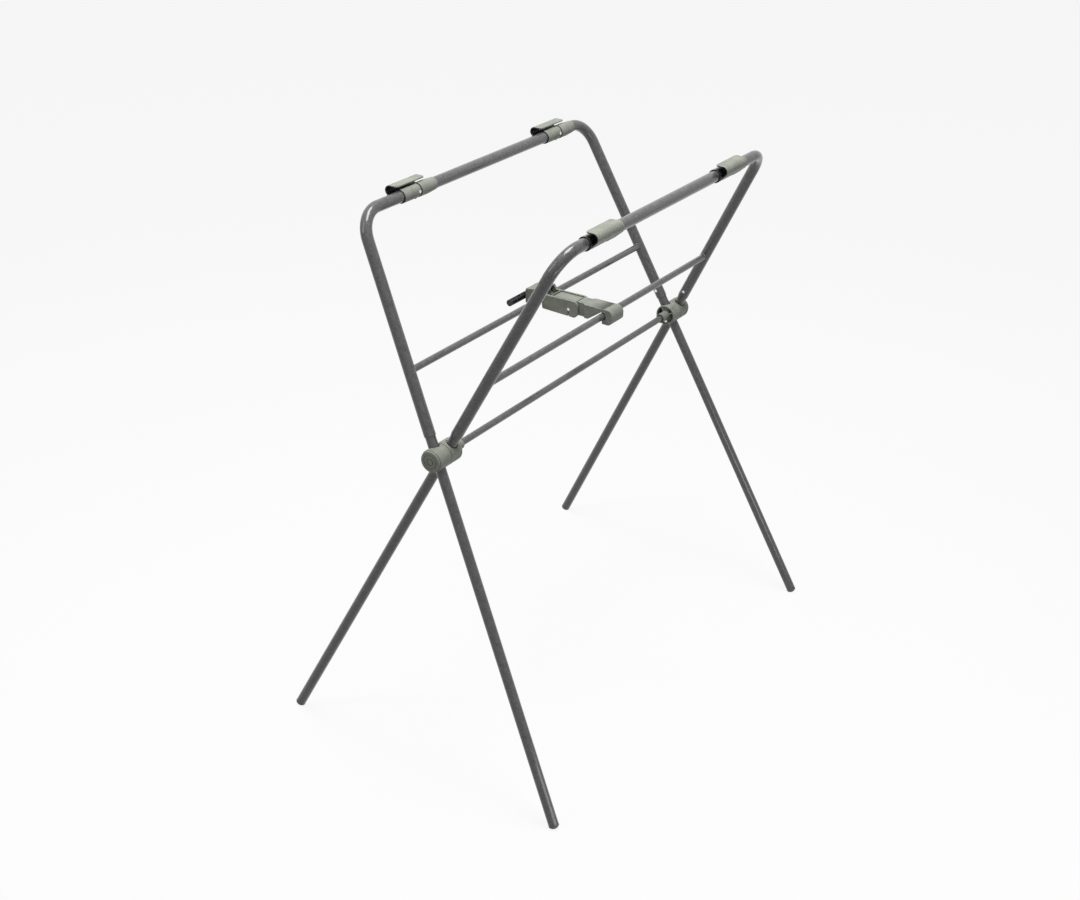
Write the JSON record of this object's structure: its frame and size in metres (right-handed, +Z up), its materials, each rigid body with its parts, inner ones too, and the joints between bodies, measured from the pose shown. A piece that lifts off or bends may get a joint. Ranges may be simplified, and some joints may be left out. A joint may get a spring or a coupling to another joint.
{
  "type": "baby bath stand",
  "caption": "Folding stand for a baby bath: crossed tube frames on plastic hubs, hooked clips on the top rails and a folding brace between the crossbars.",
  "frame": {"origin": "on the floor, midway between the four feet, below the hub axis", "axes": "+Z up; +Y along the rails, away from the viewer of the picture; +X towards the rail of frame b"},
  "size_m": [0.5884, 0.9498, 0.9592],
  "materials": {
    "grey_lacquer": "satin lacquer",
    "green_grey_plastic": "fine matt grain",
    "bright_steel": "bright zinc",
    "dark_grey_plastic": "satin, moulded",
    "black_plastic": "matt"
  },
  "bodies": {
    "frame_a": {"upper_frame_a": "grey_lacquer", "crossbar_a": "grey_lacquer", "lower_leg_a_near": "grey_lacquer", "lower_leg_a_far": "grey_lacquer", "foot_cap_a_near": "dark_grey_plastic", "foot_cap_a_far": "dark_grey_plastic", "button_spring_a_near": "bright_steel", "button_spring_a_far": "bright_steel", "hub_barrel_a_near": "green_grey_plastic", "hub_barrel_a_far": "green_grey_plastic", "hub_cap_near": "green_grey_plastic", "hub_washer_near": "black_plastic", "hub_washer_far": "black_plastic", "pivot_bolt_near": "bright_steel", "pivot_bolt_far": "bright_steel", "rod_plug_near": "bright_steel", "rod_plug_far": "bright_steel", "hub_rod": "grey_lacquer", "barrel_screws_a": "bright_steel", "rail_clip_a_near": "green_grey_plastic", "rail_clip_a_far": "green_grey_plastic", "clip_screws_a": "bright_steel"},
    "frame_b": {"upper_frame_b": "grey_lacquer", "crossbar_b": "grey_lacquer", "lower_leg_b_near": "grey_lacquer", "lower_leg_b_far": "grey_lacquer", "foot_cap_b_near": "dark_grey_plastic", "foot_cap_b_far": "dark_grey_plastic", "button_spring_b_near": "bright_steel", "button_spring_b_far": "bright_steel", "hub_barrel_b_near": "green_grey_plastic", "hub_barrel_b_far": "green_grey_plastic", "hub_cap_far": "green_grey_plastic", "barrel_screws_b": "bright_steel", "rail_clip_b_near": "green_grey_plastic", "rail_clip_b_far": "green_grey_plastic", "clip_screws_b": "bright_steel"},
    "brace_arm_a_body": {"brace_arm_a": "green_grey_plastic", "knee_pin": "bright_steel", "trip_handle": "black_plastic"},
    "brace_arm_b_body": {"brace_arm_b": "green_grey_plastic"},
    "button_a_near": {"snap_button_a_near": "bright_steel"},
    "button_a_far": {"snap_button_a_far": "bright_steel"},
    "button_b_near": {"snap_button_b_near": "bright_steel"},
    "button_b_far": {"snap_button_b_far": "bright_steel"}
  },
  "joints": [
    {"name": "fold", "type": "hinge", "parent": "frame_a", "child": "frame_b", "pos_m": [0, 0, 0.576], "axis": [0, -1, 0], "range_deg": [0, 41.2]},
    {"name": "brace_arm_a_turn", "type": "hinge", "parent": "frame_a", "child": "brace_arm_a_body", "pos_m": [-0.06528, 0.019, 0.70637], "axis": [0, -1, 0], "range_deg": [0, 112.7]},
    {"name": "brace_knee", "type": "hinge", "parent": "brace_arm_a_body", "child": "brace_arm_b_body", "pos_m": [-0.00458, 0.019, 0.70327], "axis": [0, -1, 0], "range_deg": [-137.5, 0]},
    {"name": "button_a_near_press", "type": "slide", "parent": "frame_a", "child": "button_a_near", "axis": [-0.0491, -0.994, 0.0981], "range_m": [0, 0.003], "stiffness_N_per_m": 700, "springref_m": -0.001},
    {"name": "button_a_far_press", "type": "slide", "parent": "frame_a", "child": "button_a_far", "axis": [-0.0491, 0.994, 0.0981], "range_m": [0, 0.003], "stiffness_N_per_m": 700, "springref_m": -0.001},
    {"name": "button_b_near_press", "type": "slide", "parent": "frame_b", "child": "button_b_near", "axis": [0.0491, -0.994, 0.0981], "range_m": [0, 0.003], "stiffness_N_per_m": 700, "springref_m": -0.001},
    {"name": "button_b_far_press", "type": "slide", "parent": "frame_b", "child": "button_b_far", "axis": [0.0491, 0.994, 0.0981], "range_m": [0, 0.003], "stiffness_N_per_m": 700, "springref_m": -0.001}
  ],
  "couplings": [
    {"joint": "brace_arm_a_turn", "follows": "fold", "ratio": 2.7315},
    {"joint": "brace_knee", "follows": "fold", "ratio": -3.3333}
  ]
}
